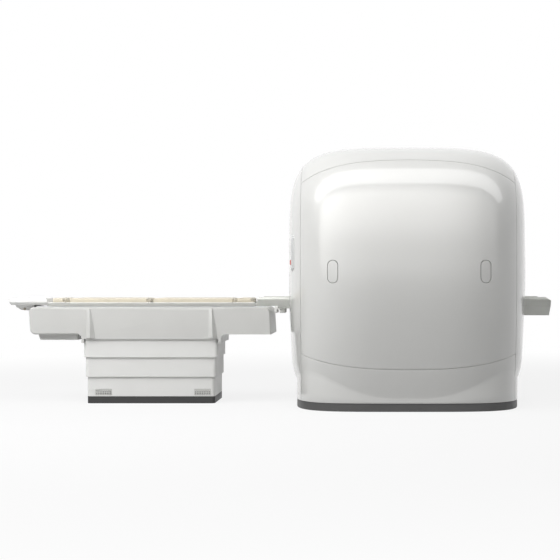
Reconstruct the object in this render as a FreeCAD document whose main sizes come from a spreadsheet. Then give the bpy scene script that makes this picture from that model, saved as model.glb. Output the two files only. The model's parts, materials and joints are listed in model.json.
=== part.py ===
import FreeCAD, Part
import Sketcher
import math
import os
import re

# A whole-body magnetic resonance scanner: a barrel-shaped gantry round a 700 mm bore, and a
# patient table on a telescoping pedestal in front of it. A fixed bridge runs through the bore
# and carries the tabletop when it slides in.
# Millimetres. +X is the way the tabletop travels into the bore, +Z is up, and the origin is on
# the floor under the centre of the bore. "near" is the -Y side, "far" is the +Y side.

SIZES = {
    # barrel-shaped outline of the gantry
    "gantry_half_length": 905,
    "gantry_half_width": 1080,
    "gantry_top": 1965,
    "waist_height": 1050,
    "end_waist_height": 1000,
    "side_bow": 3600,
    "roof_bow_across": 4200,
    "shoulder_radius": 480,
    "end_bow": 12900,
    "roof_bow_along": 3136,
    "brow_radius": 300,
    "tuck_height": 360,
    "tuck_radius": 286,
    "plan_end_bow": 4700,
    "plan_side_bow": 2840,
    "plan_corner": 480,
    "skirt_half_length": 840,
    "skirt_half_width": 950,
    "skirt_end_bow": 4000,
    "skirt_side_bow": 2290,
    "skirt_corner": 300,
    "skirt_top": 460,
    "cover_wall": 8,
    "plinth_height": 60,
    "plinth_wall": 12,
    # seams between the covers
    "seam_x": 790,
    "top_seam_height": 1822,
    "top_seam_bow": 2559,
    "low_seam_height": 306,
    "low_seam_bow": 3050,
    "plug_x": 548,
    "plug_z": 1010,
    "plug_width": 75,
    "plug_height": 164,
    # bore and its flared mouths
    "bore_height": 985,
    "bore_radius": 350,
    "liner_wall": 6,
    "liner_half_length": 690,
    "funnel_wall": 8,
    "flare_radius": 297,
    # magnet, coils and what carries them
    "vessel_radius": 850,
    "vessel_bore": 450,
    "vessel_half_length": 700,
    "gradient_bore": 380,
    "gradient_half_length": 640,
    "body_coil_half_length": 380,
    "stand_half_length": 600,
    "stand_half_width": 520,
    "stand_plate": 12,
    "saddle_x": 480,
    "saddle_length": 160,
    "saddle_top": 330,
    "turret_x": 250,
    "turret_radius": 130,
    "turret_foot": 820,
    "turret_top": 1000,
    "cold_head_radius": 70,
    "cold_head_top": 1140,
    "arm_width": 60,
    "arm_height": 70,
    # control panels and laser window on the front cover
    "panel_y": 620,
    "panel_z": 1150,
    "panel_width": 100,
    "panel_height": 260,
    "panel_proud": 6,
    "panel_depth": 22,
    "panel_corner": 24,
    "table_in_height": 84,
    "table_out_height": 38,
    "stop_height": -70,
    "key_half": 12,
    "key_proud": 3,
    "stop_half": 18,
    "stop_proud": 8,
    "key_play": 0.4,
    "key_bore": 15,
    "key_travel": 2,
    "laser_z": 1485,
    "laser_width": 90,
    "laser_height": 30,
    # bridge through the bore
    "rim_height": 819,
    "rim_half": 270,
    "bevel_height": 802,
    "bevel_half": 285,
    "turn_height": 747,
    "turn_half": 245,
    "keel_height": 675,
    "keel_half": 140,
    "keel_front": -872,
    "keel_slant": 20,
    "trough_top_half": 262,
    "trough_top": 800,
    "trough_half": 222,
    "trough_height": 744,
    "floor_under": 730,
    "floor_front": -995,
    "wing_front": -1160,
    "wing_under": 750,
    "wing_slant": 23,
    "bridge_rear": 1113,
    "rear_chamfer_drop": 27,
    "rear_chamfer_run": 44,
    "support_x": 460,
    "support_length": 80,
    "support_half": 120,
    "support_base": 630,
    "dock_front": -1030,
    "dock_finger": 22,
    "dock_rear": -945,
    "dock_block": 46,
    "dock_base": 692,
    "dock_half": 90,
    "dock_plate": 12,
    "dock_nose": 10,
    # telescoping covers of the pedestal
    "table_x": -1968,
    "tier_half_length": 492,
    "tier_half_width": 262,
    "tier_step": 12,
    "tier_wall": 4,
    "tier_corner": 28,
    "table_plinth_height": 54,
    "tier_lower_top": 225,
    "tier_middle_base": 204.5,
    "tier_middle_top": 375,
    "tier_upper_base": 355,
    "tier_upper_top": 508,
    "grille_width": 128,
    "grille_height": 50,
    "grille_base": 62,
    "grille_inset_left": 62,
    "grille_inset_right": 31,
    "slot_rows": 2,
    "slot_columns": 3,
    "slot_width": 30,
    "slot_height": 13,
    "slot_pitch_x": 38,
    "slot_pitch_z": 22,
    # lift column
    "base_plate_half_length": 470,
    "base_plate_half_width": 240,
    "base_plate_thick": 12,
    "column_half_length": 130,
    "column_half_width": 90,
    "column_wall": 6,
    "column_play": 2,
    "column_outer_top": 265,
    "column_middle_base": 185,
    "column_middle_top": 430,
    "column_inner_base": 355,
    "head_base": 600,
    "head_half_length": 150,
    "head_half_width": 200,
    "lift_motor_x": -2230,
    "lift_motor_half": 60,
    "lift_motor_height": 170,
    # beam that lies on the column
    "beam_left": -2903,
    "beam_right": -1040,
    "beam_top": 740,
    "beam_base": 532,
    "beam_half": 300,
    "beam_wall": 4,
    "left_slope": 13,
    "right_slope": 12,
    "beam_shoulder": 38,
    "beam_brow": 45,
    "beam_toe": 42,
    "beam_arris": 8,
    "shroud_left": -2498,
    "shroud_right": -1428,
    "shroud_low": 466,
    "shroud_high": 495,
    "shroud_tab": 20,
    "shroud_neck": 35,
    "slot_half": 115,
    "slot_right": -1102,
    "channel_base": 640,
    "channel_wall": 3,
    "frame_inner": 190,
    "frame_outer": 240,
    "frame_top": 664,
    "frame_left": -2880,
    "frame_right": -1102,
    "tie_base": 624,
    "tie_width": 40,
    "tie_foot": -2840,
    "tie_left": -2560,
    "tie_right": -1330,
    "tie_head": -1160,
    "glide_inner": 150,
    "glide_outer": 188,
    "glide_inset": 12,
    "glide_top": 747.5,
    "rib_top": 728,
    "rib_base": 506,
    "rib_proud": 32,
    "rib_width": 72,
    "rib_ridge": 36,
    "rib_peak": 26,
    "rib_tip": 9,
    "rib_neck": 34,
    "rib_left": -2460,
    "rib_right": -1522,
    "tray_left": -2838,
    "tray_slant": 14,
    "tray_base": 488,
    "tray_half": 250,
    "tray_gap": 38,
    "tray_toe": 10,
    # belt drive
    "pulley_radius": 28,
    "pulley_height": 674,
    "pulley_half_width": 14,
    "drive_x": -1148,
    "idler_x": -2850,
    "shaft_radius": 8,
    "shaft_play": 0.3,
    "belt_thick": 2,
    "motor_half": 32,
    # tabletop
    "top_left": -2771,
    "top_right": -1171,
    "top_under": 748,
    "top_under_half": 212,
    "top_edge": 772,
    "top_half": 236,
    "top_lip": 777,
    "top_floor": 770,
    "bed_half": 227,
    "cap_left": -3072,
    "cap_under": 757,
    "cap_top": 809,
    "cap_lean": 4,
    "cap_nose": 14,
    "cap_chin": 17,
    "cap_heel": 12,
    "cap_arris": 8,
    "belly_left": -3050,
    "belly_drop": 18,
    "belly_lift": 4,
    "belly_right": -2905,
    "belly_base": 712,
    "belly_half": 100,
    "belly_slope": 40,
    "carriage_right": -2870,
    "carriage_base": 704.5,
    "carriage_half": 60,
    "release_x": -2983,
    "release_z": 723,
    "release_radius": 10,
    "release_proud": 8,
    "release_gap": 0.3,
    "grip_half": 3,
    # mattress
    "mattress_half": 226,
    "mattress_base": 770.3,
    "mattress_top": 811,
    "mattress_crown": 8,
    "side_bulge": 3,
    "foot_pad_left": -2738,
    "foot_pad_right": -2653,
    "leg_pad_left": -2615,
    "leg_pad_right": -1997,
    "body_pad_left": -1966,
    "body_pad_right": -1332,
    "head_pad_left": -1317,
    "head_pad_right": -1192,
    "clip_foot": -2634,
    "clip_middle": -1981,
    "clip_neck": -1324.5,
    "clip_head": -1184,
    "clip_length": 12,
    "clip_top": 800,
    "clip_inner": 230,
}

FAR_OUT = 1300  # past the widest cover on every side
ABOVE = 2100  # past the roof

doc = FreeCAD.newDocument("mri_scanner")
V = FreeCAD.Vector
sheet = doc.addObject("Spreadsheet::Sheet", "Sizes")
for row, (alias, number) in enumerate(SIZES.items(), start=1):
    sheet.set("A%d" % row, alias.replace("_", " "))
    sheet.set("B%d" % row, str(number))
    sheet.setAlias("B%d" % row, alias)
doc.recompute()


# ---------------------------------------------------------------- helpers


def size(alias):
    """One driving dimension, read from the sheet."""
    return float(sheet.get(alias))


def formula(text):
    """A sum of aliases as an expression on the sheet's cells."""
    return re.sub(r"[a-z]\w*", lambda word: "Sizes." + word[0], str(text))


def worth(text):
    """What a sum of aliases comes to."""
    return float(sheet.evalExpression(formula(text)))


def bind(obj, **sums):
    for name, text in sums.items():
        obj.setExpression(name, formula(text))
    return obj


def put(obj, x=0, y=0, z=0):
    """Binds where an object's own origin stands."""
    for axis, text in (("x", x), ("y", y), ("z", z)):
        obj.setExpression("Placement.Base." + axis, formula(text))
    return obj


def block(name, x, y, z):
    """A box between three pairs of sums."""
    obj = doc.addObject("Part::Box", name)
    for side, (low, high) in zip(("Length", "Width", "Height"), (x, y, z)):
        obj.setExpression(side, formula("(%s) - (%s)" % (high, low)))
    return put(obj, x[0], y[0], z[0])


ALONG = {
    "X": FreeCAD.Rotation(V(0, 1, 0), 90),
    "Y": FreeCAD.Rotation(V(1, 0, 0), -90),
    "Z": FreeCAD.Rotation(),
}


def drum(name, axis, radius, start, end, x=0, y=0, z=0):
    """A cylinder along a row axis between two sums."""
    obj = doc.addObject("Part::Cylinder", name)
    obj.Placement = FreeCAD.Placement(V(), ALONG[axis])
    bind(obj, Radius=radius, Height="(%s) - (%s)" % (end, start))
    place = {"X": (start, y, z), "Y": (x, start, z), "Z": (x, y, start)}[axis]
    return put(obj, *place)


def cut(name, base, *tools):
    """The base with the tools taken away."""
    obj = doc.addObject("Part::Cut", name)
    obj.Base = base
    obj.Tool = tools[0] if len(tools) == 1 else join(name + "_tools", *tools)
    return obj


def join(name, *pieces):
    obj = doc.addObject("Part::MultiFuse", name)
    obj.Shapes = list(pieces)
    return obj


def overlap(name, first, second):
    """What two pieces have in common."""
    obj = doc.addObject("Part::Common", name)
    obj.Base, obj.Tool = first, second
    return obj


def mirrored(name, piece, normal, x=0):
    """A piece's mirror image across a plane through x."""
    obj = doc.addObject("Part::Mirroring", name)
    obj.Source = piece
    obj.Normal = normal
    obj.Base = V(worth(x), 0, 0)
    return obj


def made(name, shape, place=FreeCAD.Placement()):
    """A piece whose shape comes from the functions below, with its place given after it."""
    obj = doc.addObject("Part::Feature", name)
    obj.Shape = shape
    obj.Placement = place
    return obj


def outline(part, role, corners, lift=0):
    """A closed sketch on an origin plane of its body, each corner bound to two sums."""
    sketch = part.newObject("Sketcher::SketchObject", part.Name + "_outline")
    base = [face for face in part.Origin.OriginFeatures if face.Role == role][0]
    sketch.AttachmentSupport = (base, [""])
    sketch.MapMode = "FlatFace"
    sketch.setExpression("AttachmentOffset.Base.z", formula(lift))
    points = [V(worth(u), worth(v), 0) for u, v in corners]
    count = len(points)
    for i in range(count):
        sketch.addGeometry(Part.LineSegment(points[i], points[(i + 1) % count]))
    for i in range(count):
        sketch.addConstraint(Sketcher.Constraint("Coincident", i, 2, (i + 1) % count, 1))
        for kind, text, amount in (
            ("DistanceX", corners[i][0], points[i].x),
            ("DistanceY", corners[i][1], points[i].y),
        ):
            index = sketch.addConstraint(Sketcher.Constraint(kind, -1, 1, i, 1, amount))
            sketch.setExpression("Constraints[%d]" % index, formula(text))
    return sketch


def padded(name, role, corners, length, lift=0, middle=False):
    """A body with one sketch thickened along its plane's normal, or evenly both ways."""
    part = doc.addObject("PartDesign::Body", name)
    sketch = outline(part, role, corners, lift)
    feature = part.newObject("PartDesign::Pad", name + "_pad")
    feature.Profile = sketch
    feature.SideType = "Symmetric" if middle else "One side"
    feature.setExpression("Length", formula(length))
    doc.recompute()
    return part


def along_x(name, corners, start, end):
    """A (Y, Z) section drawn out along X."""
    return padded(name, "YZ_Plane", corners, "(%s) - (%s)" % (end, start), start)


def across_y(name, corners, half):
    """An (X, Z) outline with the same depth on both sides of the middle."""
    return padded(name, "XZ_Plane", corners, "2 * (%s)" % half, middle=True)


def rectangle(u, v, u_half, v_half):
    """Four corners about a middle point."""
    return [
        ("%s - (%s)" % (u, u_half), "%s - (%s)" % (v, v_half)),
        ("%s + (%s)" % (u, u_half), "%s - (%s)" % (v, v_half)),
        ("%s + (%s)" % (u, u_half), "%s + (%s)" % (v, v_half)),
        ("%s - (%s)" % (u, u_half), "%s + (%s)" % (v, v_half)),
    ]


def edge_names(shape, wanted):
    """Names of the straight edges whose middle and direction pass a test."""
    names = []
    for index, edge in enumerate(shape.Edges, start=1):
        middle = edge.valueAt((edge.FirstParameter + edge.LastParameter) / 2)
        way = edge.tangentAt(edge.FirstParameter)
        if edge.Curve.TypeId == "Part::GeomLine" and wanted(middle, way):
            names.append("Edge%d" % index)
    return names


def soften(part, radius, wanted, kind="Fillet"):
    """Rounds or chamfers the edges of a body that pass a test."""
    base = part.Tip
    feature = part.newObject("PartDesign::" + kind, "%s_%s" % (part.Name, kind.lower()))
    feature.Base = (base, edge_names(base.Shape, wanted))
    feature.setExpression("Radius" if kind == "Fillet" else "Size", formula(radius))
    doc.recompute()
    return feature


def hollow(part, wall, open_face):
    """Leaves a wall inside a body, open where a flat face's middle and normal pass a test."""
    base = part.Tip
    names = []
    for index, face in enumerate(base.Shape.Faces, start=1):
        normal = face.normalAt(*[sum(pair) / 2 for pair in zip(*[iter(face.ParameterRange)] * 2)])
        if open_face(face.CenterOfMass, normal):
            names.append("Face%d" % index)
    feature = part.newObject("PartDesign::Thickness", part.Name + "_wall")
    feature.Base = (base, names)
    feature.setExpression("Value", formula(wall))
    feature.Reversed = True
    doc.recompute()
    return feature


def sleeve(name, x, half_length, half_width, base, top, wall, corner):
    """A rectangular tube with rounded corners, standing up."""
    corners = rectangle(x, "0", half_length, half_width)
    part = padded(name, "XY_Plane", corners, "(%s) - (%s)" % (top, base), base)
    if corner:
        soften(part, corner, lambda middle, way: abs(way.z) > 0.9)
    hollow(part, wall, lambda middle, normal: abs(normal.z) > 0.9)
    return part


# ---------------------------------------------------------------- gantry outline
# Three outlines of large arcs, seen from the front, the side and above, are extruded through
# each other. What all three have in common is the barrel, so every wall is a true arc, and a
# wall inset by its thickness keeps the arcs' centres and is even all round.


def corner_arc(u_face, u_bow, v_face, v_bow, radius, v_middle=0.0):
    """Both tangent points and the middle of a corner arc between two bowed sides.

    The side at u_face bows about the level v_middle, and the side at v_face about u = 0.
    """
    u_centre, v_centre = u_face - u_bow, v_face - v_bow
    to_u, to_v = u_bow - radius, v_bow - radius
    du, dv = -u_centre, v_centre - v_middle
    apart = math.hypot(du, dv)
    along = (to_u**2 - to_v**2 + apart**2) / (2 * apart)
    across = math.sqrt(to_u**2 - along**2)
    meetings = [
        (
            u_centre + (along * du - turn * across * dv) / apart,
            v_middle + (along * dv + turn * across * du) / apart,
        )
        for turn in (1, -1)
    ]
    cu, cv = max(meetings)
    start = math.atan2(cv - v_middle, cu - u_centre)
    end = math.atan2(cv - v_centre, cu)
    half = (start + end) / 2
    return (
        (u_centre + u_bow * math.cos(start), v_middle + u_bow * math.sin(start)),
        (cu + radius * math.cos(half), cv + radius * math.sin(half)),
        (v_bow * math.cos(end), v_centre + v_bow * math.sin(end)),
    )


def arc(first, middle, last):
    return Part.Arc(first, middle, last).toShape()


def line(first, last):
    return Part.LineSegment(first, last).toShape()


def prism(edges, along):
    wire = Part.Wire(Part.__sortEdges__(edges))
    return Part.Face(wire).extrude(along)


def bowed_plan(half_x, half_y, bow_x, bow_y, corner, base, top):
    """A rounded oblong seen from above with all four sides bowed, from base to top."""
    first, middle, last = corner_arc(half_x, bow_x, half_y, bow_y, corner)

    def at(point, sx, sy):
        return V(sx * point[0], sy * point[1], base)

    quarters = [(1, 1), (-1, 1), (-1, -1), (1, -1)]
    edges = [arc(at(first, *q), at(middle, *q), at(last, *q)) for q in quarters]
    for s in (1, -1):
        edges.append(arc(at(last, 1, s), V(0, s * half_y, base), at(last, -1, s)))
        edges.append(arc(at(first, s, 1), V(s * half_x, 0, base), at(first, s, -1)))
    return prism(edges, V(0, 0, top - base))


def front_outline(inset):
    """The barrel seen from the front, extruded along the bore."""
    half = size("gantry_half_width") - inset
    top = size("gantry_top") - inset
    bow = size("side_bow") - inset
    waist = size("waist_height")
    roof = size("roof_bow_across") - inset
    corner = corner_arc(half, bow, top, roof, size("shoulder_radius") - inset, waist)
    base = 0.7 * size("plinth_height")
    low = (base + waist) / 2

    def side(z):
        return half - bow + math.sqrt(bow**2 - (waist - z) ** 2)

    def at(y, z):
        return V(-FAR_OUT, y, z)

    edges = [line(at(-side(base), base), at(side(base), base))]
    for s in (1, -1):
        first, middle, last = [at(s * y, z) for y, z in corner]
        edges.append(arc(at(s * side(base), base), at(s * side(low), low), first))
        edges.append(arc(first, middle, last))
    edges.append(arc(at(corner[2][0], corner[2][1]), at(0, top), at(-corner[2][0], corner[2][1])))
    return prism(edges, V(2 * FAR_OUT, 0, 0))


def side_outline(inset):
    """The barrel seen from the side, tucked in above the skirt, extruded across."""
    half = size("gantry_half_length") - inset
    top = size("gantry_top") - inset
    bow = size("end_bow") - inset
    waist = size("end_waist_height")
    roof = size("roof_bow_along") - inset
    corner = corner_arc(half, bow, top, roof, size("brow_radius") - inset, waist)
    tuck_z = size("tuck_height")
    tuck = size("tuck_radius") - inset
    low = (tuck_z + waist) / 2

    def end(z):
        return half - bow + math.sqrt(bow**2 - (waist - z) ** 2)

    def at(x, z):
        return V(x, -FAR_OUT, z)

    def tucked(degrees):
        turn = math.radians(degrees)
        return end(tuck_z) - tuck + tuck * math.cos(turn), tuck_z - tuck * math.sin(turn)

    base, bend = tucked(70), tucked(35)
    edges = [line(at(-base[0], base[1]), at(base[0], base[1]))]
    for s in (1, -1):
        first, middle, last = [at(s * x, z) for x, z in corner]
        edges.append(arc(at(s * base[0], base[1]), at(s * bend[0], bend[1]), at(s * end(tuck_z), tuck_z)))
        edges.append(arc(at(s * end(tuck_z), tuck_z), at(s * end(low), low), first))
        edges.append(arc(first, middle, last))
    edges.append(arc(at(corner[2][0], corner[2][1]), at(0, top), at(-corner[2][0], corner[2][1])))
    return prism(edges, V(0, 2 * FAR_OUT, 0))


def plan(name, inset, base, top):
    """The plan outline of the gantry or its skirt, by the name its cells start with."""
    cells = {"gantry": "plan", "skirt": "skirt"}[name]
    return bowed_plan(
        size(name + "_half_length") - inset,
        size(name + "_half_width") - inset,
        size(cells + "_end_bow") - inset,
        size(cells + "_side_bow") - inset,
        size(cells + "_corner") - inset,
        base,
        top,
    )


def barrel(inset):
    """The gantry's outer form, or the face of its inner wall when inset by the wall."""
    form = front_outline(inset).common(side_outline(inset)).common(plan("gantry", inset, 0, ABOVE))
    base = size("plinth_height") - (1 if inset else 0)
    skirt = plan("skirt", inset, base, size("skirt_top") - inset)
    return form.fuse(skirt).removeSplitter()


outer_form = barrel(0)
inner_form = barrel(size("cover_wall"))
outer = made("outer_form", outer_form)
inner = made("inner_form", inner_form)
shell = made("cover_shell", outer_form.cut(inner_form))
ring = plan("skirt", 0, 0, size("plinth_height"))
ring = ring.cut(plan("skirt", size("plinth_wall"), -1, size("plinth_height") + 1))
plinth = made("plinth_ring", ring)

nodes = []


def node(obj):
    """Marks an object as a piece of its own, under its own name."""
    nodes.append(obj)
    return obj


# ---------------------------------------------------------------- control panels
# One at each side of the bore on the front cover, set square to the bowed cover. Each key
# slides in a bore of its panel and stands proud of it.

SIDES = {"near": -1, "far": 1}
KEYS = ("table_in", "table_out", "stop")


def panel_frame(sign):
    """Where a panel's own X points straight out of the cover, on its outer face."""
    y = size("panel_y")
    bow = size("plan_end_bow")
    x = -(size("gantry_half_length") - bow + math.sqrt(bow**2 - y**2))
    turn = math.degrees(math.asin(y / bow))
    return FreeCAD.Placement(
        V(x, sign * y, size("panel_z")), FreeCAD.Rotation(V(0, 0, 1), 180 - sign * turn)
    )


def key_block(name, frame, half, start, end, z):
    """A square block whose axis points straight out of a panel."""
    obj = doc.addObject("Part::Box", name)
    bind(obj, Length="(%s) - (%s)" % (end, start), Width="2 * (%s)" % half, Height="2 * (%s)" % half)
    place = V(worth(start), -worth(half), z - worth(half))
    obj.Placement = frame.multiply(FreeCAD.Placement(place, ALONG["Z"]))
    return obj


panel_blanks = {}
for side, sign in SIDES.items():
    frame = panel_frame(sign)
    blank = along_x(
        "panel_blank_" + side,
        rectangle("0", "0", "panel_width * 0.5", "panel_height * 0.5"),
        "panel_proud - panel_depth",
        "panel_proud",
    )
    soften(blank, "panel_corner", lambda middle, way: abs(way.x) > 0.9)
    blank.Placement = frame
    panel_blanks[side] = blank
    bores = []
    for key in KEYS:
        height = size(key + "_height")
        kind = "stop" if key == "stop" else "key"
        half = kind + "_half"
        floor = "panel_proud - key_bore"
        name = "%s_bore_%s" % (key, side)
        bores.append(key_block(name, frame, half + " + key_play", floor, "panel_proud + 1", height))
        start = floor + " + key_travel + 1"
        end = "panel_proud + %s_proud" % kind
        node(key_block("key_%s_%s" % (key, side), frame, half, start, end, height))
    node(cut("control_panel_" + side, blank, *bores))

# ---------------------------------------------------------------- flared mouths of the bore


FLARE_BANDS = 3
FLARE_FLATS = 36


def flare_solid(sign, radius):
    """What lies inside an arc of the flare, in equal flats round the bore's axis.

    The arc is divided into equal turns, so the mouth is a row of bands of flats.
    """
    axis = size("bore_height")
    ring = size("bore_radius") + size("flare_radius")
    start = size("liner_half_length")
    past_cover = size("gantry_half_length") + 25 - start
    last = math.asin(past_cover / radius)
    hoops = []
    for band in range(FLARE_BANDS + 1):
        turn = last * band / FLARE_BANDS
        x = sign * (start + radius * math.sin(turn))
        reach = ring - radius * math.cos(turn)
        angles = [2 * math.pi * flat / FLARE_FLATS for flat in range(FLARE_FLATS + 1)]
        hoop = [V(x, reach * math.sin(a), axis + reach * math.cos(a)) for a in angles[:-1]]
        hoops.append(hoop + hoop[:1])
    faces = [Part.Face(Part.makePolygon(hoop)) for hoop in (hoops[0], hoops[-1])]
    for low, high in zip(hoops, hoops[1:]):
        for flat in range(FLARE_FLATS):
            corners = [low[flat], low[flat + 1], high[flat + 1], high[flat], low[flat]]
            faces.append(Part.Face(Part.makePolygon(corners)))
    solid = Part.Solid(Part.Shell(faces))
    solid.fix(0.01, 0.01, 0.01)
    return solid


def funnel(end, sign):
    """A trumpet mouth, trimmed by the gantry's outer form."""
    face = flare_solid(sign, size("flare_radius"))
    back = flare_solid(sign, size("flare_radius") - size("funnel_wall"))
    node(made("funnel_" + end, back.cut(face).common(outer_form)))
    return made(end + "_mouth_cut", back)


mouths = {"front": funnel("front", -1), "rear": funnel("rear", 1)}

# ---------------------------------------------------------------- gantry covers
# Straight seams near both ends, a bowed seam under the roof and one above the skirt.


WIDE = ("-%d" % FAR_OUT, str(FAR_OUT))
TALL = ("0", str(ABOVE))
HALF = {"near": ("-%d" % FAR_OUT, "0"), "far": ("0", str(FAR_OUT))}
BAND = ("-seam_x", "seam_x")
ENDS = {"front": ("-%d" % FAR_OUT, "-seam_x"), "rear": ("seam_x", str(FAR_OUT))}

laser_tool = block(
    "laser_opening",
    ("-%d" % FAR_OUT, "-seam_x"),
    ("-laser_width * 0.5", "laser_width * 0.5"),
    ("laser_z - laser_height * 0.5", "laser_z + laser_height * 0.5"),
)
node(overlap("laser_window", shell, laser_tool))

end_zones = {end: block(end + "_zone", x, WIDE, TALL) for end, x in ENDS.items()}
front_blank = overlap("front_cover_blank", shell, end_zones["front"])
node(cut("front_cover", front_blank, mouths["front"], laser_tool, *panel_blanks.values()))
node(cut("rear_cover", overlap("rear_cover_blank", shell, end_zones["rear"]), mouths["rear"]))

band = overlap("side_band", shell, block("side_zone", BAND, WIDE, TALL))
under_roof = drum("under_roof", "Y", "top_seam_bow", *WIDE, z="top_seam_height - top_seam_bow")
over_skirt = drum("over_skirt", "Y", "low_seam_bow", *WIDE, z="low_seam_height + low_seam_bow")
node(cut("top_cover", band, under_roof))

plug_tools = []
for end, x in (("front", "-plug_x"), ("rear", "plug_x")):
    rise = "(plug_height - plug_width) * 0.5"
    middle = block(
        end + "_plug_middle",
        (x + " - plug_width * 0.5", x + " + plug_width * 0.5"),
        WIDE,
        ("plug_z - " + rise, "plug_z + " + rise),
    )
    tips = [
        drum("%s_plug_%s" % (end, name), "Y", "plug_width * 0.5", *WIDE, x=x, z="plug_z %s %s" % (way, rise))
        for name, way in (("top", "+"), ("foot", "-"))
    ]
    plug_tools.append(join(end + "_plug_tool", middle, *tips))
plug_tool = join("plug_tool", *plug_tools)
node(overlap("side_plugs", shell, plug_tool))

side_band = overlap("upper_band", overlap("waist_band", band, under_roof), over_skirt)
low_band = cut("low_band", band, over_skirt)
halves = {side: block(side + "_half", WIDE, y, TALL) for side, y in HALF.items()}
for side, half in halves.items():
    node(cut("side_cover_" + side, overlap("side_blank_" + side, side_band, half), plug_tool))
    node(overlap("lower_panel_" + side, low_band, half))
    node(overlap("plinth_" + side, overlap("plinth_band_" + side, plinth, half), doc.side_zone))
for end, place in end_zones.items():
    node(overlap("plinth_" + end, plinth, place))

# ---------------------------------------------------------------- magnet and bore


def tube(name, inner_radius, outer_radius, half_length):
    """A tube about the bore's axis."""
    reach = ("-(%s)" % half_length, half_length)
    rod = drum(name + "_outside", "X", outer_radius, *reach, z="bore_height")
    hole = drum(name + "_inside", "X", inner_radius, *reach, z="bore_height")
    return node(cut(name, rod, hole))


tube("bore_liner", "bore_radius", "bore_radius + liner_wall", "liner_half_length")
tube("body_coil", "bore_radius + liner_wall", "gradient_bore", "body_coil_half_length")
tube("gradient_coil", "gradient_bore", "vessel_bore", "gradient_half_length")

vessel = doc.addObject("PartDesign::Body", "magnet_vessel")
put(vessel, z="bore_height")
section = outline(
    vessel,
    "XZ_Plane",
    [
        ("-vessel_half_length", "vessel_bore"),
        ("vessel_half_length", "vessel_bore"),
        ("vessel_half_length", "vessel_radius"),
        ("-vessel_half_length", "vessel_radius"),
    ],
)
turned = vessel.newObject("PartDesign::Revolution", "vessel_turned")
turned.Profile = section
turned.ReferenceAxis = (section, ["H_Axis"])
turned.Angle = 360
node(vessel)

vessel_core = drum(
    "vessel_core", "X", "vessel_radius", "-vessel_half_length", "vessel_half_length", z="bore_height"
)
stand_width = ("-stand_half_width", "stand_half_width")
saddles = [
    block(
        end + "_saddle",
        (x + " - saddle_length * 0.5", x + " + saddle_length * 0.5"),
        stand_width,
        ("stand_plate", "saddle_top"),
    )
    for end, x in (("front", "-saddle_x"), ("rear", "saddle_x"))
]
stand_plate = block(
    "stand_floor_plate", ("-stand_half_length", "stand_half_length"), stand_width, ("0", "stand_plate")
)
node(cut("magnet_stand", join("stand_blank", stand_plate, *saddles), vessel_core))


def leaning(name, radius, start, end):
    """A cylinder that stands off the bore's axis at 45 degrees, up and to the far side."""
    obj = doc.addObject("Part::Cylinder", name)
    bind(obj, Radius=radius, Height="(%s) - (%s)" % (end, start))
    way = V(0, 1, 1).normalize()
    foot = V(size("turret_x"), 0, size("bore_height")) + way * worth(start)
    obj.Placement = FreeCAD.Placement(foot, FreeCAD.Rotation(V(1, 0, 0), -45))
    return obj


turret = leaning("turret_blank", "turret_radius", "turret_foot", "turret_top")
node(cut("service_turret", turret, vessel_core))
node(leaning("cold_head", "cold_head_radius", "turret_top", "cold_head_top"))

arms = []
for end, x in (("front", "-plug_x"), ("rear", "plug_x")):
    reach = (x + " - arm_width * 0.5", x + " + arm_width * 0.5")
    arms.append(
        block(
            end + "_side_arms",
            reach,
            WIDE,
            ("bore_height - arm_height * 0.5", "bore_height + arm_height * 0.5"),
        )
    )
    arms.append(
        block(end + "_roof_arm", reach, ("-arm_height", "arm_height"), ("bore_height", str(ABOVE)))
    )
node(cut("cover_mounts", overlap("mounts_blank", join("all_arms", *arms), inner), vessel_core))

# ---------------------------------------------------------------- bridge
# One section all along, trimmed by its side view: two wings in front of the bore, then the
# trough with its floor, then the keel under it.

right = [
    ("keel_half", "keel_height"),
    ("turn_half", "turn_height"),
    ("bevel_half", "bevel_height"),
    ("rim_half", "rim_height"),
    ("trough_top_half", "rim_height"),
    ("trough_top_half", "trough_top"),
    ("trough_half", "trough_height"),
]
left = [("-" + y, z) for y, z in reversed(right)]
bridge_section = along_x("bridge_section", right + left, "wing_front", "bridge_rear")
bridge_outline = across_y(
    "bridge_outline",
    [
        ("wing_front", "wing_under"),
        ("floor_front", "wing_under"),
        ("floor_front", "floor_under"),
        ("keel_front", "floor_under"),
        ("keel_front + keel_slant", "keel_height"),
        ("bridge_rear", "keel_height"),
        ("bridge_rear", "rim_height - rear_chamfer_drop"),
        ("bridge_rear - rear_chamfer_run", "rim_height"),
        ("wing_front + wing_slant", "rim_height"),
    ],
    "bevel_half + 1",
)
node(overlap("bridge", bridge_section, bridge_outline))

feet = [
    block(
        end + "_bridge_foot",
        (x + " - support_length * 0.5", x + " + support_length * 0.5"),
        ("-support_half", "support_half"),
        ("support_base", "keel_height"),
    )
    for end, x in (("front", "-support_x"), ("rear", "support_x"))
]
bore_core = drum("bore_core", "X", "bore_radius", *BAND, z="bore_height")
node(overlap("bridge_supports", join("bridge_feet", *feet), bore_core))

node(
    across_y(
        "docking_hook",
        [
            ("dock_front", "dock_base"),
            ("dock_front + dock_finger", "dock_base"),
            ("dock_front + dock_finger", "floor_under - dock_plate"),
            ("dock_rear - dock_block", "floor_under - dock_plate"),
            ("dock_rear - dock_block", "dock_base"),
            ("dock_rear", "dock_base"),
            ("dock_rear", "floor_under"),
            ("floor_front", "floor_under"),
            ("floor_front", "turn_height"),
            ("dock_front + dock_nose", "turn_height"),
            ("dock_front", "turn_height - dock_nose"),
        ],
        "dock_half",
    )
)

# ---------------------------------------------------------------- pedestal

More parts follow.
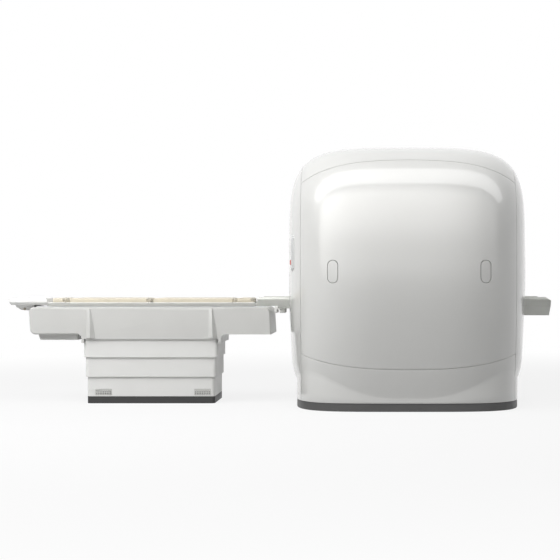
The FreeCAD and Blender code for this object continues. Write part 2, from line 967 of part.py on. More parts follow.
LENGTHS = {"lower": "tier_half_length", "middle": "tier_half_length + tier_step"}
LENGTHS["upper"] = "tier_half_length + 2 * tier_step"
WIDTHS = {name: text.replace("length", "width") for name, text in LENGTHS.items()}
LEVELS = {
    "lower": ("table_plinth_height", "tier_lower_top"),
    "middle": ("tier_middle_base", "tier_middle_top"),
    "upper": ("tier_upper_base", "tier_upper_top"),
}


def tier(name, label):
    base, top = LEVELS[name]
    return sleeve(
        label, "table_x", LENGTHS[name], WIDTHS[name], base, top, "tier_wall", "tier_corner"
    )


node(
    sleeve(
        "table_plinth",
        "table_x",
        LENGTHS["lower"],
        WIDTHS["lower"],
        "0",
        "table_plinth_height",
        "tier_wall",
        "tier_corner",
    )
)
node(tier("middle", "tier_middle"))
node(tier("upper", "tier_upper"))

GRILLES = {
    "right": "(table_x + tier_half_length - grille_inset_right - grille_width * 0.5)",
    "left": "(table_x - tier_half_length + grille_inset_left + grille_width * 0.5)",
}
grille_y = "-tier_half_width + tier_wall * 0.5"
grille = padded(
    "grille_plate",
    "XZ_Plane",
    rectangle("0", "0", "grille_width * 0.5", "grille_height * 0.5"),
    "tier_wall",
    middle=True,
)
slots = outline(
    grille,
    "XZ_Plane",
    rectangle(
        "-slot_pitch_x * (slot_columns - 1) * 0.5",
        "-slot_pitch_z * (slot_rows - 1) * 0.5",
        "slot_width * 0.5",
        "slot_height * 0.5",
    ),
)
punched = grille.newObject("PartDesign::Pocket", "grille_slot")
punched.Profile = slots
punched.SideType = "Symmetric"
punched.setExpression("Length", formula("2 * tier_wall"))
rows = grille.newObject("PartDesign::MultiTransform", "grille_slots")
rows.Originals = [punched]
repeats = []
for name, axis in (("columns", "H_Axis"), ("rows", "V_Axis")):
    repeat = grille.newObject("PartDesign::LinearPattern", "grille_" + name)
    repeat.Direction = (slots, [axis])
    pitch = "slot_pitch_x" if name == "columns" else "slot_pitch_z"
    repeat.setExpression("Length", formula("%s * (slot_%s - 1)" % (pitch, name)))
    repeat.Occurrences = int(size("slot_" + name))
    repeats.append(repeat)
rows.Transformations = repeats
grille.Tip = rows
put(grille, GRILLES["right"], grille_y, "grille_base + grille_height * 0.5")
doc.recompute()
across = mirrored("grille_left", grille, V(1, 0, 0), "(%s + %s) * 0.5" % tuple(GRILLES.values()))
pair = join("grille_pair", grille, across)
node(join("vent_grilles", pair, mirrored("grille_far_pair", pair, V(0, 1, 0))))

windows = [
    block(
        "window_" + name,
        (x + " - grille_width * 0.5", x + " + grille_width * 0.5"),
        WIDE,
        ("grille_base", "grille_base + grille_height"),
    )
    for name, x in GRILLES.items()
]
node(cut("tier_lower", tier("lower", "tier_lower_blank"), *windows))

node(
    block(
        "base_plate",
        ("table_x - base_plate_half_length", "table_x + base_plate_half_length"),
        ("-base_plate_half_width", "base_plate_half_width"),
        ("0", "base_plate_thick"),
    )
)

STAGES = (
    ("lift_column_outer", 0, "base_plate_thick", "column_outer_top"),
    ("lift_column_middle", 1, "column_middle_base", "column_middle_top"),
    ("lift_column_inner", 2, "column_inner_base", "head_base"),
)
for name, stage, base, top in STAGES:
    less = " - %d * (column_wall + column_play)" % stage
    node(
        sleeve(
            name,
            "table_x",
            "column_half_length" + less,
            "column_half_width" + less,
            base,
            top,
            "column_wall",
            None,
        )
    )
node(
    block(
        "lift_motor",
        ("lift_motor_x - lift_motor_half", "lift_motor_x + lift_motor_half"),
        ("-lift_motor_half", "lift_motor_half"),
        ("base_plate_thick", "base_plate_thick + lift_motor_height"),
    )
)

# ---------------------------------------------------------------- beam
# A hollow moulding, open under the shroud so that the tiers run up into it, with a slot along
# the top for the carriage. Its corners come down as tabs round the pedestal.

cover = across_y(
    "beam_blank",
    [
        ("beam_left", "beam_top"),
        ("beam_left + left_slope", "beam_base"),
        ("shroud_left", "beam_base"),
        ("shroud_left", "shroud_low"),
        ("shroud_right", "shroud_low"),
        ("shroud_right", "beam_base"),
        ("beam_right", "beam_base"),
        ("beam_right - right_slope", "beam_top"),
    ],
    "beam_half",
)


def corner_at(x, z):
    """Picks the edges that run across at one corner of the side view."""
    place = worth(x), worth(z)
    return lambda middle, way: abs(way.y) > 0.9 and math.dist((middle.x, middle.z), place) < 1


soften(cover, "beam_shoulder", corner_at("beam_left", "beam_top"))
soften(cover, "beam_brow", corner_at("beam_right - right_slope", "beam_top"))
soften(cover, "beam_toe", corner_at("beam_left + left_slope", "beam_base"))
soften(cover, "shroud_neck", corner_at("shroud_left", "beam_base"))
soften(cover, "shroud_neck", corner_at("shroud_right", "beam_base"))
soften(
    cover,
    "beam_arris",
    lambda middle, way: abs(way.x) > 0.99 and middle.z > size("beam_top") - 1,
    "Chamfer",
)
hollow(cover, "beam_wall", lambda middle, normal: normal.z < -0.9 and middle.z < size("shroud_low") + 1)

def rib(x, sign):
    """A ridge on the beam's side that grows wider and prouder towards its foot."""

    def at(along, proud, height):
        return V(x + along, sign * (size("beam_half") - 1 + proud), height)

    foot, top = size("rib_base"), size("rib_top")
    low = [at(0, 0, foot), at(size("rib_ridge"), 1 + size("rib_proud"), foot), at(size("rib_width"), 0, foot)]
    high = [at(0, 0, top), at(size("rib_peak"), 1 + size("rib_tip"), top), at(size("rib_neck"), 0, top)]
    faces = [low + low[:1], high + high[:1]]
    for i, j in ((0, 1), (1, 2), (2, 0)):
        faces.append([low[i], low[j], high[i], low[i]])
        faces.append([low[j], high[j], high[i], low[j]])
    solid = Part.Solid(Part.Shell([Part.Face(Part.makePolygon(face)) for face in faces]))
    solid.fix(0.01, 0.01, 0.01)
    return solid


ribs = [
    made("rib_%s_%s" % (place, side), rib(size("rib_" + place), sign))
    for place in ("left", "right")
    for side, sign in SIDES.items()
]
carriage_slot = block(
    "carriage_slot",
    ("beam_left - 20", "slot_right"),
    ("-slot_half", "slot_half"),
    ("channel_base", "beam_top + 1"),
)
hem = block(
    "hem",
    ("shroud_left + shroud_tab", "shroud_right - shroud_tab"),
    WIDE,
    ("shroud_low - 1", "shroud_high"),
)
node(cut("beam_cover", join("beam_ribbed", cover, *ribs), carriage_slot, hem))

channel = along_x(
    "carriage_channel",
    [
        ("-slot_half", "beam_top"),
        ("-slot_half", "channel_base"),
        ("slot_half", "channel_base"),
        ("slot_half", "beam_top"),
        ("slot_half - channel_wall", "beam_top"),
        ("slot_half - channel_wall", "channel_base + channel_wall"),
        ("-slot_half + channel_wall", "channel_base + channel_wall"),
        ("-slot_half + channel_wall", "beam_top"),
    ],
    "frame_left",
    "slot_right",
)

frame_pieces = [channel] + [
    block(
        "frame_rail_" + side,
        ("frame_left", "frame_right"),
        ("-frame_outer", "-frame_inner") if sign < 0 else ("frame_inner", "frame_outer"),
        ("channel_base", "frame_top"),
    )
    for side, sign in SIDES.items()
]
for name in ("foot", "left", "right", "head"):
    reach = ("tie_%s - tie_width * 0.5" % name, "tie_%s + tie_width * 0.5" % name)
    frame_pieces.append(
        block("frame_tie_" + name, reach, ("-frame_outer", "frame_outer"), ("tie_base", "channel_base"))
    )
    for side, sign in SIDES.items():
        rail = ("-frame_outer", "-frame_inner") if sign < 0 else ("frame_inner", "frame_outer")
        frame_pieces.append(
            block("post_%s_%s" % (name, side), reach, rail, ("frame_top", "beam_top - beam_wall"))
        )
frame_pieces.append(
    block(
        "lift_head",
        ("table_x - head_half_length", "table_x + head_half_length"),
        ("-head_half_width", "head_half_width"),
        ("head_base", "channel_base"),
    )
)
node(join("beam_frame", *frame_pieces))

glides = [
    block(
        "glide_" + side,
        ("frame_left + glide_inset", "frame_right - glide_inset"),
        ("-glide_outer", "-glide_inner") if sign < 0 else ("glide_inner", "glide_outer"),
        ("beam_top", "glide_top"),
    )
    for side, sign in SIDES.items()
]
node(join("guide_rails", *glides))

tray = across_y(
    "cable_tray",
    [
        ("tray_left", "beam_base"),
        ("tray_left + tray_slant", "tray_base"),
        ("shroud_left - tray_gap", "tray_base"),
        ("shroud_left - tray_gap", "beam_base"),
    ],
    "tray_half",
)
soften(tray, "tray_toe", corner_at("tray_left + tray_slant", "tray_base"))
node(tray)

# ---------------------------------------------------------------- belt drive


def pulley(name, x):
    """A wheel turned in one piece with its shaft, which runs between the channel's walls."""
    width = ("-pulley_half_width", "pulley_half_width")
    ends = ("-slot_half + channel_wall + shaft_play", "slot_half - channel_wall - shaft_play")
    wheel = drum(name + "_wheel", "Y", "pulley_radius", *width, x=x, z="pulley_height")
    shaft = drum(name + "_shaft", "Y", "shaft_radius", *ends, x=x, z="pulley_height")
    return node(join(name, wheel, shaft))


pulley("drive_pulley", "drive_x")
pulley("idler_pulley", "idler_x")
node(
    block(
        "drive_motor",
        ("drive_x - motor_half", "drive_x + motor_half"),
        ("slot_half", "frame_inner - 2"),
        ("frame_top", "frame_top + 2 * motor_half"),
    )
)


def belt_loop(radius):
    """A stadium round both pulleys, as thick as the belt is wide."""
    half = size("pulley_half_width") - 2
    z = size("pulley_height")
    first, last = size("idler_x"), size("drive_x")

    def at(x, height):
        return V(x, -half, z + height)

    edges = [
        line(at(first, radius), at(last, radius)),
        arc(at(last, radius), at(last + radius, 0), at(last, -radius)),
        line(at(last, -radius), at(first, -radius)),
        arc(at(first, -radius), at(first - radius, 0), at(first, radius)),
    ]
    return prism(edges, V(0, 2 * half, 0))


belt_inside = size("pulley_radius") + size("shaft_play")
belt = belt_loop(belt_inside + size("belt_thick")).cut(belt_loop(belt_inside))
node(made("drive_belt", belt))

# ---------------------------------------------------------------- tabletop
# A shallow tray whose sides lean out, so that it nests in the bridge's trough, and a cap on
# its left end with a belly that runs in the beam's slot and holds the drive belt.

tray_right = [
    ("top_under_half", "top_under"),
    ("top_half", "top_edge"),
    ("top_half", "top_lip"),
    ("bed_half + 2", "top_lip"),
    ("bed_half", "top_floor"),
]
tray_left = [("-(%s)" % y, z) for y, z in reversed(tray_right)]
node(along_x("tabletop", tray_right + tray_left, "top_left", "top_right"))

cap_right = [
    ("top_under_half", "cap_under"),
    ("top_half", "top_lip"),
    ("top_half", "cap_top - cap_arris"),
    ("top_half - cap_arris", "cap_top"),
]
cap_section = along_x(
    "cap_section",
    cap_right + [("-(%s)" % y, z) for y, z in reversed(cap_right)],
    "cap_left",
    "top_left",
)
cap_side = across_y(
    "cap_side",
    [
        ("cap_left", "cap_top"),
        ("cap_left + cap_lean", "cap_under + cap_chin"),
        ("cap_left + cap_nose", "cap_under"),
        ("top_left", "cap_under"),
        ("top_left", "cap_under + cap_chin"),
        ("top_left - cap_heel", "cap_top"),
    ],
    "top_half + 1",
)
belly = across_y(
    "cap_belly",
    [
        ("cap_left + cap_nose", "cap_under"),
        ("belly_left", "cap_under - belly_drop"),
        ("belly_left + belly_slope", "belly_base + belly_lift"),
        ("belly_left + 2 * belly_slope", "belly_base"),
        ("belly_right", "belly_base"),
        ("belly_right", "cap_under"),
    ],
    "belly_half",
)
carriage = block(
    "belt_carriage",
    ("belly_right", "carriage_right"),
    ("-carriage_half", "carriage_half"),
    ("carriage_base", "top_under"),
)
node(join("end_cap", overlap("cap_slab", cap_section, cap_side), belly, carriage))
wheel = drum(
    "release_wheel",
    "Y",
    "release_radius",
    "-belly_half - release_proud * 0.5",
    "-belly_half - release_gap",
    x="release_x",
    z="release_z",
)
grip = block(
    "release_grip",
    ("release_x - release_radius * 0.8", "release_x + release_radius * 0.8"),
    ("-belly_half - release_proud", "-belly_half - release_gap"),
    ("release_z - grip_half", "release_z + grip_half"),
)
node(join("release_knob", wheel, grip))

# ---------------------------------------------------------------- mattress
# Each cushion is what two outlines of arcs have in common, so it is crowned along and across
# and has bulging sides.


def bowed_block(start, end, base, top, crown, bulge, place):
    """Edges of a flat-bottomed outline with bulging ends and a crowned top."""
    middle, shoulder = (start + end) / 2, top - crown
    edges = [line(place(start + bulge, base), place(end - bulge, base))]
    for side, way in ((start, 1), (end, -1)):
        foot, head = place(side + way * bulge, base), place(side + 2 * way * bulge, shoulder)
        edges.append(arc(foot, place(side, (base + shoulder) / 2), head))
    crowned = arc(
        place(start + 2 * bulge, shoulder), place(middle, top), place(end - 2 * bulge, shoulder)
    )
    return edges + [crowned]


def cushion(start, end):
    half = size("mattress_half")
    base, top = size("mattress_base"), size("mattress_top")
    bulge, crown = size("side_bulge"), size("mattress_crown")
    section = bowed_block(-half, half, base, top, crown, bulge, lambda y, z: V(start, y, z))
    profile = bowed_block(start, end, base, top, crown, bulge, lambda x, z: V(x, -half, z))
    across = prism(section, V(end - start, 0, 0))
    return across.common(prism(profile, V(0, 2 * half, 0)))


PADS = ("foot", "leg", "body", "head")
for name in PADS:
    ends = size(name + "_pad_left"), size(name + "_pad_right")
    node(made("mattress_" + name, cushion(*ends)))

clips = [
    block(
        "clip_%s_%s" % (name, side),
        ("clip_%s - clip_length * 0.5" % name, "clip_%s + clip_length * 0.5" % name),
        ("-top_half", "-clip_inner") if sign < 0 else ("clip_inner", "top_half"),
        ("top_lip", "clip_top"),
    )
    for name in ("foot", "middle", "neck", "head")
    for side, sign in SIDES.items()
]
node(join("strap_clips", *clips))

# ---------------------------------------------------------------- checks and files

doc.recompute()
for obj in doc.Objects:
    if "Invalid" in obj.State or "Error" in obj.State:
        raise SystemExit("%s did not build: %s" % (obj.Name, obj.State))

os.makedirs("parts", exist_ok=True)
for piece in nodes:
    shape = piece.Shape
    if shape.isNull() or not shape.isValid() or not shape.Solids:
        raise SystemExit(piece.Label + " has no sound shape")
for piece in nodes:
    piece.Shape.exportStep("parts/%s.step" % piece.Label)
    box = piece.Shape.BoundBox
    print(
        "%-22s %d solid(s) x %.0f..%.0f y %.0f..%.0f z %.0f..%.0f"
        % (
            piece.Label,
            len(piece.Shape.Solids),
            box.XMin,
            box.XMax,
            box.YMin,
            box.YMax,
            box.ZMin,
            box.ZMax,
        )
    )
print(len(nodes), "pieces")
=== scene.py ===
# %% [markdown]
# # Finishing a magnetic resonance scanner
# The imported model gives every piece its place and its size, in metres: +X is the way the
# tabletop slides into the bore, +Z is up, and the origin is on the floor under the bore.
# The covers of the real machine are large glossy mouldings with no flat spot on them. They
# could be sculpted by hand, but formulas give smooth curves at exact sizes, so the covers are
# made again here from those. Most other pieces keep their shape and only get the small edge
# radii and the surface finish that a made thing has.

# %% Load the frame
import json
import math

import bmesh
import bpy
import numpy as np
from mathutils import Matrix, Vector


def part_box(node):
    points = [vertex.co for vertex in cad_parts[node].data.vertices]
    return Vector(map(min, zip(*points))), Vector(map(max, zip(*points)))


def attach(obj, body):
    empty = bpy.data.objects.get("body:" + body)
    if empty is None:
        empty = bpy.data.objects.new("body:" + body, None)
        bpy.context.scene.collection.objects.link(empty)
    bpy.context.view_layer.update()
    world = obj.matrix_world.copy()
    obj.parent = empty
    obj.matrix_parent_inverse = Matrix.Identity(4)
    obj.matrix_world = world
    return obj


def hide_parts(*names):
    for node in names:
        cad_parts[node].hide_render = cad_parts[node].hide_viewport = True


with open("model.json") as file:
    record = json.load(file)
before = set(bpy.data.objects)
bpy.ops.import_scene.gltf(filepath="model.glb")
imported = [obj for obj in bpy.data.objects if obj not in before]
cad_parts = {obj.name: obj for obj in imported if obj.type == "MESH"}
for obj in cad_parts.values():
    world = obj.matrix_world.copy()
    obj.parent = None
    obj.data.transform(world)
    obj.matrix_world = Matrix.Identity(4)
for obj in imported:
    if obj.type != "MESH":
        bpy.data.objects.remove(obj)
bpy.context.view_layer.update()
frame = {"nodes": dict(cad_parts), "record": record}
slots = {part["node"]: part["material_slot"] for part in frame["record"]["subparts"]}
print(len(frame["nodes"]), "pieces in", len(set(slots.values())), "finishes")

# %% [markdown]
# ## Finishes
# A finish is more than a colour. Each one here gets a slow drift of its colour, a roughness that
# varies as handling and wiping leave it, and a fine relief. Painted pictures could do that, but
# they would stretch over the curved covers. Textures worked out in the object's own
# coordinates, which are metres, have their real size on every piece.

# %% Nodes
def add(tree, kind, inputs=(), **settings):
    """A node with its settings, and its inputs set to values or linked to other nodes."""
    node = tree.nodes.new("ShaderNode" + kind)
    for name, value in settings.items():
        setattr(node, name, value)
    for name, value in dict(inputs).items():
        if isinstance(value, bpy.types.NodeSocket):
            tree.links.new(value, node.inputs[name])
        else:
            node.inputs[name].default_value = value
    return node


def blank_finish(name):
    """A new material, its node tree, its main shader and the place on the piece in metres."""
    material = bpy.data.materials.new(name)
    material.use_nodes = True
    tree = material.node_tree
    place = tree.nodes.new("ShaderNodeTexCoord").outputs["Object"]
    return material, tree, tree.nodes["Principled BSDF"], place


def noise(tree, place, scale, detail=4.0):
    """Cloudy grey whose clouds are about 1 / scale metres across."""
    inputs = {"Vector": place, "Scale": scale, "Detail": detail}
    return add(tree, "TexNoise", inputs).outputs["Fac"]


def smooth_range(tree, value, start, end, before, after):
    """Goes softly from one level to another while the value goes from start to end."""
    limits = {
        "Value": value, "From Min": start, "From Max": end, "To Min": before, "To Max": after
    }
    return add(tree, "MapRange", limits, interpolation_type="SMOOTHSTEP").outputs["Result"]


print("node helpers: add, blank_finish, noise, smooth_range")

# %% [markdown]
# ### What every finish starts from
# A noise seldom reaches black or white. It stays between about 0.2 and 0.8, so those are the
# two greys between which it is stretched.

# %% Drift, wear and relief
DARKEST, PALEST = 0.2, 0.8


def tint(tree, colour, drift, value):
    """The colour, a little darker or lighter with the texture."""
    ramp = add(tree, "ValToRGB", {"Fac": value})
    for stop, share in zip(ramp.color_ramp.elements, (1 - drift, 1 + drift)):
        stop.color = [min(1.0, part * share) for part in colour[:3]] + [1]
    ramp.color_ramp.interpolation = "EASE"
    ramp.color_ramp.elements[0].position = DARKEST
    ramp.color_ramp.elements[1].position = PALEST
    return ramp.outputs["Color"]


def relief(tree, shader, height, depth):
    """Raises the surface by a grey texture, depth metres from black to white."""
    bump = add(tree, "Bump", {"Height": height, "Distance": depth, "Strength": 1.0})
    tree.links.new(bump.outputs["Normal"], shader.inputs["Normal"])


def surface(tree, shader, colour, drift, rough, place, clouds=3.0):
    """Drifting colour and wiped roughness."""
    drifting = tint(tree, colour, drift, noise(tree, place, clouds, 1.5))
    tree.links.new(drifting, shader.inputs["Base Color"])
    wiped = smooth_range(tree, noise(tree, place, clouds * 2, 1.5), DARKEST, PALEST, *rough)
    tree.links.new(wiped, shader.inputs["Roughness"])


print("finish helpers: tint, relief, surface")

# %% [markdown]
# ### Lacquer
# The covers are sprayed and polished. One glossy layer would do from afar, but a clear coat over
# a softer layer carries sharp reflections while the colour beneath stays soft, as on a car.
# Spraying leaves a faint orange peel, a few millimetres wide. The white is written as a middle
# grey, because in the photograph the covers are that much darker than the white room.

# %% Lacquered pieces
def lacquer(name, colour, rough=(0.29, 0.33), coat=0.9, drift=0.004):
    material, tree, shader, place = blank_finish(name)
    surface(tree, shader, colour, drift, rough, place, 1.5)
    relief(tree, shader, noise(tree, place, 160, 1.0), 0.00003)
    shader.inputs["Specular IOR Level"].default_value = 0.9
    shader.inputs["Coat Weight"].default_value = coat
    shader.inputs["Coat Roughness"].default_value = 0.025
    shader.inputs["Coat IOR"].default_value = 1.7
    return material


finishes = {
    "gantry_cover": lacquer("white_lacquer", (0.52, 0.52, 0.505)),
    "cover_plug": lacquer("plug_lacquer", (0.50, 0.50, 0.485)),
    "bore_lining": lacquer("bore_white", (0.74, 0.74, 0.725), (0.3, 0.38), 0.5),
    "tabletop_white": lacquer("tabletop_white", (0.80, 0.80, 0.78), (0.3, 0.38), 0.4),
    "key_red": lacquer("key_red", (0.45, 0.05, 0.04), (0.25, 0.35), 0.6, 0.03),
}
print(len(finishes), "lacquers")

# %% [markdown]
# ### Powder paint
# Sheet metal on the table and the gantry's frame is powder painted. The powder melts to a fine
# even grain of about a millimetre, without a coat, so it has broad dull highlights.

# %% Painted pieces
def paint(name, colour, rough=(0.38, 0.5), drift=0.02, grain=0.00008):
    material, tree, shader, place = blank_finish(name)
    surface(tree, shader, colour, drift, rough, place, 5.0)
    relief(tree, shader, noise(tree, place, 900, 2.0), grain)
    return material


painted = {
    "stand_paint": paint("stand_grey", (0.20, 0.21, 0.23)),
    "bridge_paint": paint("bridge_grey", (0.70, 0.71, 0.67)),
    "dock_paint": paint("dock_grey", (0.78, 0.78, 0.76)),
    "pedestal_paint": paint("pedestal_grey", (0.64, 0.64, 0.625), (0.35, 0.45), 0.012),
    "beam_cover": paint("beam_grey", (0.50, 0.50, 0.485), (0.3, 0.4), 0.012, 0.00004),
    "cap_grey": paint("cap_grey", (0.76, 0.76, 0.745), (0.35, 0.45), 0.012),
}
finishes.update(painted)
print(len(painted), "paints")

# %% [markdown]
# ### Moulded plastic
# Feet, panels and clips come out of a mould whose walls are etched with fine pebbles. Cells of a
# Voronoi texture are such pebbles, which a plain noise isn't.

# %% Moulded pieces
def moulded(name, colour, rough=(0.45, 0.6), drift=0.05):
    material, tree, shader, place = blank_finish(name)
    surface(tree, shader, colour, drift, rough, place, 9.0)
    pebbles = add(tree, "TexVoronoi", {"Vector": place, "Scale": 620.0}).outputs["Distance"]
    relief(tree, shader, pebbles, 0.0001)
    return material


plastics = {
    "gantry_plinth": moulded("plinth_grey", (0.06, 0.06, 0.06)),
    "panel_face": moulded("panel_grey", (0.62, 0.63, 0.63), (0.3, 0.4), 0.02),
    "key_pale": moulded("key_pale", (0.70, 0.70, 0.68), (0.3, 0.4), 0.02),
    "grille_dark": moulded("grille_grey", (0.50, 0.50, 0.48), (0.4, 0.5), 0.02),
    "table_plinth": moulded("table_plinth_black", (0.018, 0.018, 0.018)),
    "clip_dark": moulded("clip_brown", (0.46, 0.42, 0.34)),
}
finishes.update(plastics)
print(len(plastics), "plastics")

# %% [markdown]
# ### Metals
# Steel and alloy are brushed or drawn in one direction. A noise drawn out along that direction
# has such scratches in real relief, so that highlights spread across them. Castings are rougher.

# %% Metal pieces
def brushed(name, colour, rough=(0.28, 0.42), along=(6.0, 420.0, 420.0)):
    """The scratches run along the axis whose scale is small."""
    material, tree, shader, place = blank_finish(name)
    surface(tree, shader, colour, 0.04, rough, place, 12.0)
    drawn = add(tree, "Mapping", {"Vector": place, "Scale": along}).outputs["Vector"]
    relief(tree, shader, noise(tree, drawn, 1.0, 3.0), 0.00004)
    shader.inputs["Metallic"].default_value = 1.0
    return material


def casting(name, colour):
    material, tree, shader, place = blank_finish(name)
    surface(tree, shader, colour, 0.12, (0.5, 0.7), place, 20.0)
    relief(tree, shader, noise(tree, place, 260, 5.0), 0.0004)
    return material


metals = {
    "vessel_steel": brushed("vessel_steel", (0.60, 0.61, 0.62)),
    "cryo_steel": brushed("turned_steel", (0.62, 0.62, 0.62), along=(420.0, 420.0, 6.0)),
    "column_alloy": brushed("drawn_alloy", (0.66, 0.67, 0.68)),
    "motor_iron": casting("motor_iron", (0.06, 0.065, 0.07)),
}
finishes.update(metals)
print(len(metals), "metals")

# %% [markdown]
# ### Resin, rubber and glass
# Coils show their windings as bands under the resin, and the belt has a rib every 5 mm. Both
# could be modelled, but they are too fine to see from outside, so a wave in relief stands for
# them. The window that the laser lines come out of is nearly black glass.

# %% Banded pieces and the window
def banded(name, colour, pitch, depth, rough):
    """Bands across X, pitch metres apart. A wave of scale 1 has one every tau / 20 metres."""
    material, tree, shader, place = blank_finish(name)
    surface(tree, shader, colour, 0.15, rough, place, 14.0)
    inputs = {"Vector": place, "Scale": math.tau / 20 / pitch, "Distortion": 0.2}
    relief(tree, shader, add(tree, "TexWave", inputs).outputs["Fac"], depth)
    return material


def dark_glass(name, colour):
    material, tree, shader, place = blank_finish(name)
    surface(tree, shader, colour, 0.02, (0.03, 0.08), place)
    shader.inputs["Transmission Weight"].default_value = 0.35
    shader.inputs["Coat Weight"].default_value = 1.0
    return material


finishes["coil_resin"] = banded("coil_resin", (0.36, 0.23, 0.10), 0.012, 0.0012, (0.3, 0.45))
finishes["belt_rubber"] = banded("belt_rubber", (0.025, 0.025, 0.027), 0.005, 0.001, (0.55, 0.7))
finishes["laser_glass"] = dark_glass("laser_glass", (0.03, 0.005, 0.005))
print("resin, rubber and glass")

# %% [markdown]
# ### Vinyl
# The mattress cover is wipe-clean vinyl: a leather grain of small cells, with soft creases
# between them, and a faint sheen at the edges. Round cells alone look like moulded plastic, so
# a noise is added to bend them.

# %% Vinyl, and a finish on every piece
def vinyl(name, colour):
    material, tree, shader, place = blank_finish(name)
    surface(tree, shader, colour, 0.05, (0.4, 0.55), place, 11.0)
    bent = noise(tree, place, 140, 2.0)
    cells = add(tree, "TexVoronoi", {"Vector": place, "Scale": 520.0}, feature="SMOOTH_F1")
    grain = add(tree, "Math", {0: cells.outputs["Distance"], 1: bent}, operation="ADD")
    relief(tree, shader, grain.outputs["Value"], 0.00018)
    shader.inputs["Sheen Weight"].default_value = 0.15
    shader.inputs["Sheen Roughness"].default_value = 0.5
    return material


finishes["mattress_vinyl"] = vinyl("mattress_vinyl", (0.60, 0.55, 0.44))
for node, part in frame["nodes"].items():
    part.data.materials.clear()
    part.data.materials.append(finishes[slots[node]])
print(len(finishes), "finishes on", len(frame["nodes"]), "pieces")

# %% [markdown]
# ## Putting a piece in place
# A new piece is a mesh that rides on the body its node belongs to and hides that node. Modifiers
# do the wall and the edges, and are then applied, so that what is left is the finished mesh.

# %% Pieces
BODY_OF = {}
for body, nodes in frame["record"]["behaviour"]["bodies"].items():
    BODY_OF.update(dict.fromkeys(nodes, body))


def in_place(name, form, node, smooth_under=35):
    """Turns an edited mesh into a piece that stands for a node of the frame."""
    mesh = bpy.data.meshes.new(name)
    form.to_mesh(mesh)
    form.free()
    piece = bpy.data.objects.new(name, mesh)
    bpy.context.collection.objects.link(piece)
    mesh.materials.append(finishes[slots[node]])
    mesh.shade_smooth()
    mesh.set_sharp_from_angle(angle=math.radians(smooth_under))
    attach(piece, BODY_OF[node])
    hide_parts(node)
    return piece


def apply_modifiers(piece):
    """Leaves the finished mesh and no modifier."""
    bpy.context.view_layer.update()
    seen = piece.evaluated_get(bpy.context.evaluated_depsgraph_get())
    done = bpy.data.meshes.new_from_object(seen)
    piece.modifiers.clear()
    piece.data = done
    return piece


def walled(piece, thickness):
    """Gives an open surface its thickness, inwards."""
    wall = piece.modifiers.new("wall", "SOLIDIFY")
    wall.thickness, wall.offset = thickness, -1


def bevelled(piece, width, segments, over):
    """Rounds every edge that turns more than so many degrees."""
    bevel = piece.modifiers.new("edges", "BEVEL")
    bevel.width, bevel.segments = width, segments
    bevel.limit_method, bevel.angle_limit = "ANGLE", math.radians(over)
    return bevel


# %% [markdown]
# ## Edge radii on the pieces that keep their shape
# The frame's meshes are exact but have knife edges. Rounding them in the shader would not show
# on an outline, so a copy is welded, its flat faces are made whole again, and its edges are
# rounded by the radius that the real piece has: a few millimetres on mouldings, one on sheet
# metal. Faces that turn less than 35 degrees are shaded as one curve. The beam's chamfers turn
# by less than that and have to stay crisp, so its limit is 19.

# %% Radii
EDGE_RADII = {
    "control_panel_near": 0.003, "control_panel_far": 0.003,
    "bridge": 0.004, "bridge_supports": 0.002, "docking_hook": 0.005,
    "table_plinth": 0.0015, "tier_lower": 0.0015, "tier_middle": 0.0015, "tier_upper": 0.0015,
    "beam_cover": 0.0035, "cable_tray": 0.004, "tabletop": 0.0018, "end_cap": 0.005,
    "strap_clips": 0.002, "release_knob": 0.0008, "drive_motor": 0.003, "lift_motor": 0.004,
    "guide_rails": 0.001, "base_plate": 0.001, "beam_frame": 0.0012, "magnet_stand": 0.003,
    "lift_column_outer": 0.001, "lift_column_middle": 0.001, "lift_column_inner": 0.001,
}
for key in (n for n in frame["nodes"] if n.startswith("key_")):
    EDGE_RADII[key] = 0.0025
print("radii from", min(EDGE_RADII.values()), "to", max(EDGE_RADII.values()))

# %% Copies with rounded edges
SMOOTH_UNDER = {"beam_cover": 19}
FLAT_WITHIN = 0.02


def rounded_copy(node, radius):
    """Only triangles that are flat to 0.02 degrees are joined, so that no curve loses its form."""
    form = bmesh.new()
    form.from_mesh(frame["nodes"][node].data)
    bmesh.ops.remove_doubles(form, verts=form.verts, dist=1e-6)
    bmesh.ops.dissolve_limit(
        form, angle_limit=math.radians(FLAT_WITHIN), verts=form.verts[:], edges=form.edges[:]
    )
    piece = in_place(node.replace("_", "-"), form, node, SMOOTH_UNDER.get(node, 35))
    bevelled(piece, radius, 3, 30).harden_normals = True
    apply_modifiers(piece)


for node, radius in EDGE_RADII.items():
    rounded_copy(node, radius)
print(len(EDGE_RADII), "pieces rounded")

# %% [markdown]
# ## The gantry's form
# Seen from above, the gantry is a squircle: a rounded oblong whose sides all bow a little. Its
# two half sizes shrink towards the roof and, more slowly, towards the floor. A second, straight
# squircle is the skirt that it stands on, and the crease is where the two meet. A cage with
# subdivision could be pulled to this form by eye. One function instead gives the distance from
# the middle to the surface in any direction at any height, so every seam can be cut on it.

# %% Outlines
WAIST, ROOF, SKIRT_BASE = 1.10, 1.965, 0.0605
LENGTH, WIDTH, BARREL_POWER = 0.905, 1.080, 3.4
SKIRT_LENGTH, SKIRT_WIDTH, SKIRT_POWER = 0.843, 0.950, 4.3


def half_sizes(z):
    """Half length and half width of the barrel at a height, round over the waist, tucked under."""
    rise = np.clip((z - WAIST) / (ROOF - WAIST), 0, 1)
    drop = np.maximum(0, 1.05 - z)
    tuck = np.maximum(0, (0.35 - z) / 0.17)
    length = LENGTH * (1 - rise**4.6) ** (1 / 4.6) - 0.02 * (drop / 0.7) ** 2 - 0.034 * tuck**2
    width = WIDTH * (1 - rise**3.4) ** (1 / 3.4) - 0.13 * (drop / 0.953) ** 2
    return length, width


